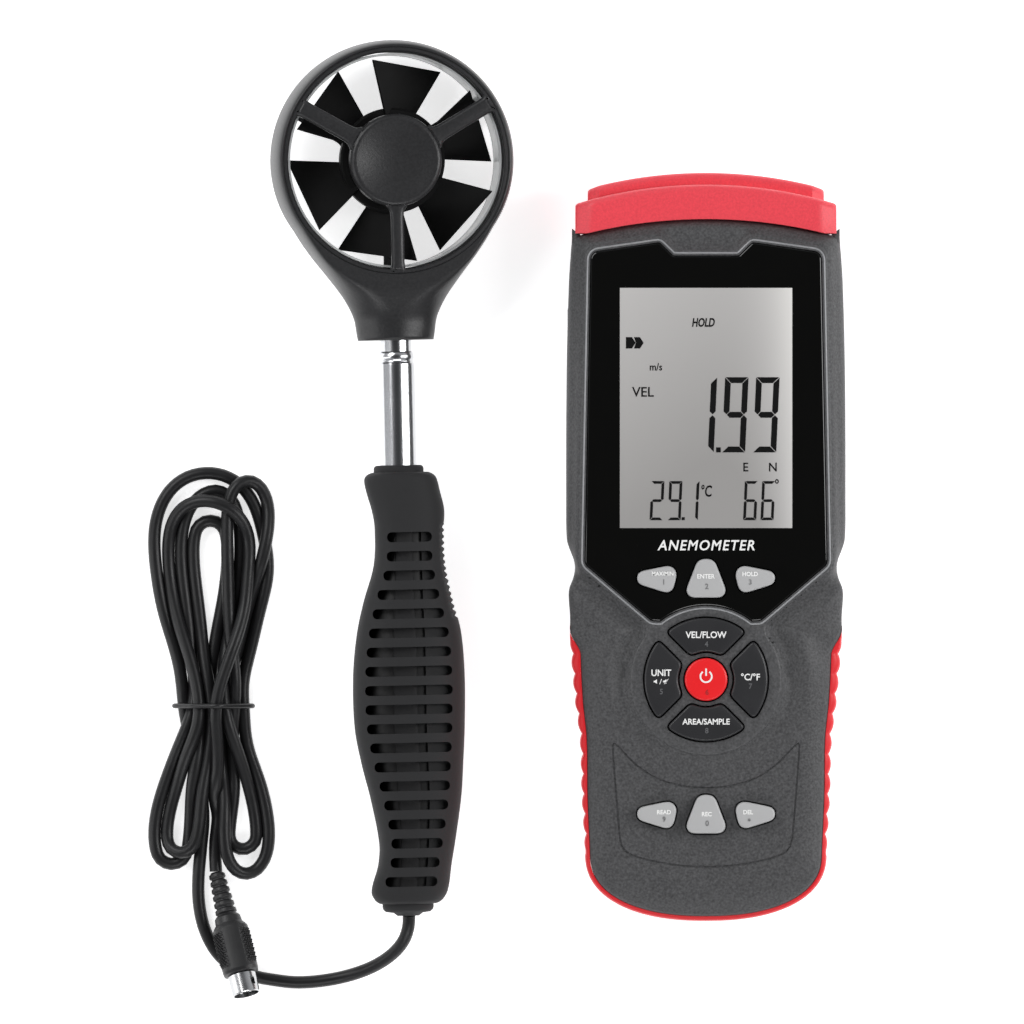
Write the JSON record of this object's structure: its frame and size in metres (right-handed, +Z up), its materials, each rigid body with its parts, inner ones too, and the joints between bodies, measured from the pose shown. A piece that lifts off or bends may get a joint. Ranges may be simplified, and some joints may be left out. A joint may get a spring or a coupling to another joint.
{
  "type": "vane anemometer",
  "caption": "Hand-held air-speed meter with display and keypad, and a corded vane probe on a telescopic mast, laid flat side by side.",
  "frame": {"origin": "on the table, midway across and along the meter and probe together (cord left out)", "axes": "+X from the probe to the meter, +Y towards the meter's display end and the vane, +Z up from the table"},
  "size_m": [0.21, 0.2878, 0.0376],
  "materials": {
    "case_plastic": "satin, fine grain",
    "red_rubber": "satin",
    "window_lens": "polished",
    "lcd": "satin",
    "grey_key": "satin",
    "dark_key": "satin",
    "red_key": "satin",
    "circuit_board": "solder mask",
    "steel": "plain",
    "chrome": "polished",
    "black_plastic": "satin",
    "soft_rubber": "matte",
    "cord_pvc": "satin",
    "liner": "translucent",
    "battery_can": "satin"
  },
  "bodies": {
    "meter": {"front_case": "case_plastic", "rear_case": "case_plastic", "side_grip": "red_rubber", "top_cap": "red_rubber", "display_window": "window_lens", "lcd_glass": "lcd", "lcd_backlight": "lcd", "main_board": "circuit_board", "keypad_sheet": "soft_rubber", "probe_socket": "black_plastic", "usb_socket": "steel", "buzzer": "black_plastic", "battery": "battery_can", "case_screw_1": "steel", "case_screw_2": "steel", "case_screw_3": "steel", "case_screw_4": "steel"},
    "max_min_key": {"max_min_key": "grey_key"},
    "enter_key": {"enter_key": "grey_key"},
    "hold_key": {"hold_key": "grey_key"},
    "vel_flow_key": {"vel_flow_key": "dark_key"},
    "unit_key": {"unit_key": "dark_key"},
    "temp_unit_key": {"temp_unit_key": "dark_key"},
    "area_key": {"area_key": "dark_key"},
    "power_key": {"power_key": "red_key"},
    "read_key": {"read_key": "grey_key"},
    "record_key": {"record_key": "grey_key"},
    "delete_key": {"delete_key": "grey_key"},
    "battery_door": {"battery_door": "case_plastic"},
    "side_port_cover": {"side_port_cover": "soft_rubber"},
    "probe": {"handle_core_front": "black_plastic", "handle_core_rear": "black_plastic", "grip_sleeve": "soft_rubber", "handle_gland": "soft_rubber", "mast_collar": "soft_rubber", "mast_outer_tube": "chrome", "cord_lead": "cord_pvc", "cord_hank": "cord_pvc", "cord_tail": "cord_pvc", "cord_tie": "soft_rubber", "plug_strain_relief": "cord_pvc", "plug_body": "black_plastic", "plug_shell": "chrome", "plug_insert": "black_plastic"},
    "mast": {"mast_inner_tube": "chrome"},
    "head": {"head_housing": "black_plastic", "duct_liner": "liner", "front_guard": "black_plastic", "rear_guard": "black_plastic", "bearing_front": "steel", "bearing_rear": "steel", "pickup_sensor": "circuit_board", "thermistor": "black_plastic"},
    "impeller": {"impeller": "black_plastic", "impeller_shaft": "steel"}
  },
  "joints": [
    {"name": "max_min_key_press", "type": "slide", "parent": "meter", "child": "max_min_key", "axis": [0, 0, -1], "range_m": [0, 0.001], "stiffness_N_per_m": 1500},
    {"name": "enter_key_press", "type": "slide", "parent": "meter", "child": "enter_key", "axis": [0, 0, -1], "range_m": [0, 0.001], "stiffness_N_per_m": 1500},
    {"name": "hold_key_press", "type": "slide", "parent": "meter", "child": "hold_key", "axis": [0, 0, -1], "range_m": [0, 0.001], "stiffness_N_per_m": 1500},
    {"name": "vel_flow_key_press", "type": "slide", "parent": "meter", "child": "vel_flow_key", "axis": [0, 0, -1], "range_m": [0, 0.001], "stiffness_N_per_m": 1500},
    {"name": "unit_key_press", "type": "slide", "parent": "meter", "child": "unit_key", "axis": [0, 0, -1], "range_m": [0, 0.001], "stiffness_N_per_m": 1500},
    {"name": "temp_unit_key_press", "type": "slide", "parent": "meter", "child": "temp_unit_key", "axis": [0, 0, -1], "range_m": [0, 0.001], "stiffness_N_per_m": 1500},
    {"name": "area_key_press", "type": "slide", "parent": "meter", "child": "area_key", "axis": [0, 0, -1], "range_m": [0, 0.001], "stiffness_N_per_m": 1500},
    {"name": "power_key_press", "type": "slide", "parent": "meter", "child": "power_key", "axis": [0, 0, -1], "range_m": [0, 0.001], "stiffness_N_per_m": 1500},
    {"name": "read_key_press", "type": "slide", "parent": "meter", "child": "read_key", "axis": [0, 0, -1], "range_m": [0, 0.001], "stiffness_N_per_m": 1500},
    {"name": "record_key_press", "type": "slide", "parent": "meter", "child": "record_key", "axis": [0, 0, -1], "range_m": [0, 0.001], "stiffness_N_per_m": 1500},
    {"name": "delete_key_press", "type": "slide", "parent": "meter", "child": "delete_key", "axis": [0, 0, -1], "range_m": [0, 0.001], "stiffness_N_per_m": 1500},
    {"name": "battery_door_slide", "type": "slide", "parent": "meter", "child": "battery_door", "axis": [0, -1, 0], "range_m": [0, 0.066]},
    {"name": "side_port_cover_hinge", "type": "hinge", "parent": "meter", "child": "side_port_cover", "pos_m": [0.003, 0.0235, 0.0135], "axis": [0, -1, 0], "range_deg": [0, 100]},
    {"name": "probe_lift", "type": "slide", "parent": "meter", "child": "probe", "axis": [0, 0, 1], "range_m": [0, 0.12]},
    {"name": "mast_slide", "type": "slide", "parent": "probe", "child": "mast", "axis": [-0.0218, 0.9998, 0], "range_m": [-0.003, 0.1]},
    {"name": "head_swivel", "type": "hinge", "parent": "mast", "child": "head", "pos_m": [-0.0497, 0.09568, 0.017], "axis": [-0.0218, 0.9998, 0], "range_deg": [-97, 83]},
    {"name": "impeller_spin", "type": "hinge", "parent": "head", "child": "impeller", "pos_m": [-0.0497, 0.09568, 0.017], "axis": [0.1218, 0.0027, 0.9925], "continuous": true}
  ]
}
